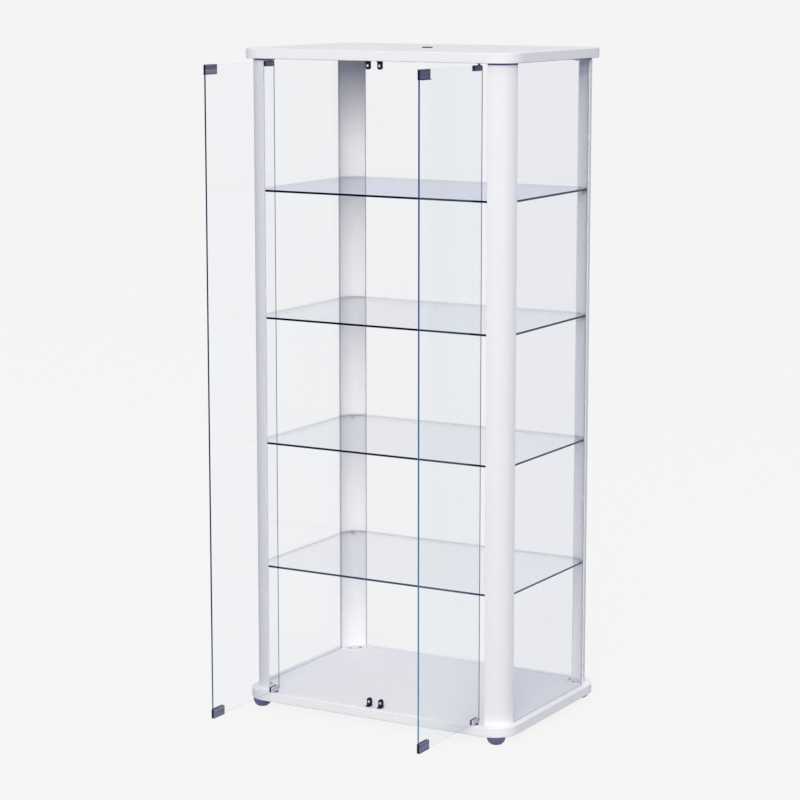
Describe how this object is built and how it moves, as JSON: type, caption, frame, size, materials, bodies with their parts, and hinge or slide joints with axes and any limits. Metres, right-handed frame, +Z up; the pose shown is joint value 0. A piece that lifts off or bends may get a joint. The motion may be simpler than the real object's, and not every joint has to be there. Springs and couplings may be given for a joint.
{
  "type": "glass display cabinet",
  "caption": "Floor-standing glass display cabinet with rounded white boards, curved white corner posts, glass shelves on pegs and glass doors on pivot clips with magnetic catches.",
  "frame": {"origin": "on the floor, under the middle of the boards", "axes": "+Z up, +X to the right seen from the front, -Y towards the front where the doors are"},
  "size_m": [0.74, 0.783, 1.6347],
  "materials": {
    "white_board": "satin white lacquer on board",
    "white_post": "satin white powder coat",
    "dark_plastic": "matt black",
    "panel_glass": "clear, polished",
    "shelf_glass": "clear, polished edges",
    "door_glass": "clear, polished edges",
    "clear_strip": "translucent",
    "peg_metal": "satin",
    "screw_metal": "zinc plated",
    "foot_plastic": "satin dark grey",
    "clip_metal": "brushed dark nickel",
    "liner_rubber": "matt",
    "pin_metal": "turned",
    "bearing_plastic": "matt black",
    "catch_plastic": "matt black",
    "magnet_metal": "nickel plated"
  },
  "bodies": {
    "cabinet": {"back_glass": "panel_glass", "bottom_board": "white_board", "bush_bottom_left": "bearing_plastic", "bush_bottom_right": "bearing_plastic", "bush_top_left": "bearing_plastic", "bush_top_right": "bearing_plastic", "cable_grommet": "dark_plastic", "catch_bottom_left": "catch_plastic", "catch_bottom_right": "catch_plastic", "catch_magnets": "magnet_metal", "catch_screws": "screw_metal", "catch_top_left": "catch_plastic", "catch_top_right": "catch_plastic", "foot_front_left": "foot_plastic", "foot_front_right": "foot_plastic", "foot_rear_left": "foot_plastic", "foot_rear_right": "foot_plastic", "foot_screws": "screw_metal", "glass_edge_strips": "clear_strip", "post_front_left": "white_post", "post_front_right": "white_post", "post_rear_left": "white_post", "post_rear_right": "white_post", "post_screws": "screw_metal", "post_spacers": "dark_plastic", "shelf_1": "shelf_glass", "shelf_2": "shelf_glass", "shelf_3": "shelf_glass", "shelf_4": "shelf_glass", "shelf_pegs_1": "peg_metal", "shelf_pegs_2": "peg_metal", "shelf_pegs_3": "peg_metal", "shelf_pegs_4": "peg_metal", "side_glass_left": "panel_glass", "side_glass_right": "panel_glass", "top_board": "white_board"},
    "left_door": {"door_glass_left": "door_glass", "hinge_liners_left": "liner_rubber", "grub_screws_left": "screw_metal", "thrust_washer_left": "bearing_plastic", "strike_liners_left": "liner_rubber", "hinge_clip_bottom_left": "clip_metal", "hinge_clip_top_left": "clip_metal", "pivot_pin_bottom_left": "pin_metal", "pivot_pin_top_left": "pin_metal", "strike_clip_bottom_left": "clip_metal", "strike_clip_top_left": "clip_metal"},
    "right_door": {"door_glass_right": "door_glass", "hinge_liners_right": "liner_rubber", "grub_screws_right": "screw_metal", "thrust_washer_right": "bearing_plastic", "strike_liners_right": "liner_rubber", "hinge_clip_bottom_right": "clip_metal", "hinge_clip_top_right": "clip_metal", "pivot_pin_bottom_right": "pin_metal", "pivot_pin_top_right": "pin_metal", "strike_clip_bottom_right": "clip_metal", "strike_clip_top_right": "clip_metal"}
  },
  "joints": [
    {"name": "left_door_hinge", "type": "hinge", "parent": "cabinet", "child": "left_door", "pos_m": [-0.2823, -0.2432, 0.8], "axis": [0, 0, 1], "range_deg": [-70, 90]},
    {"name": "right_door_hinge", "type": "hinge", "parent": "cabinet", "child": "right_door", "pos_m": [0.2823, -0.2432, 0.8], "axis": [0, 0, 1], "range_deg": [-90, 70]}
  ]
}
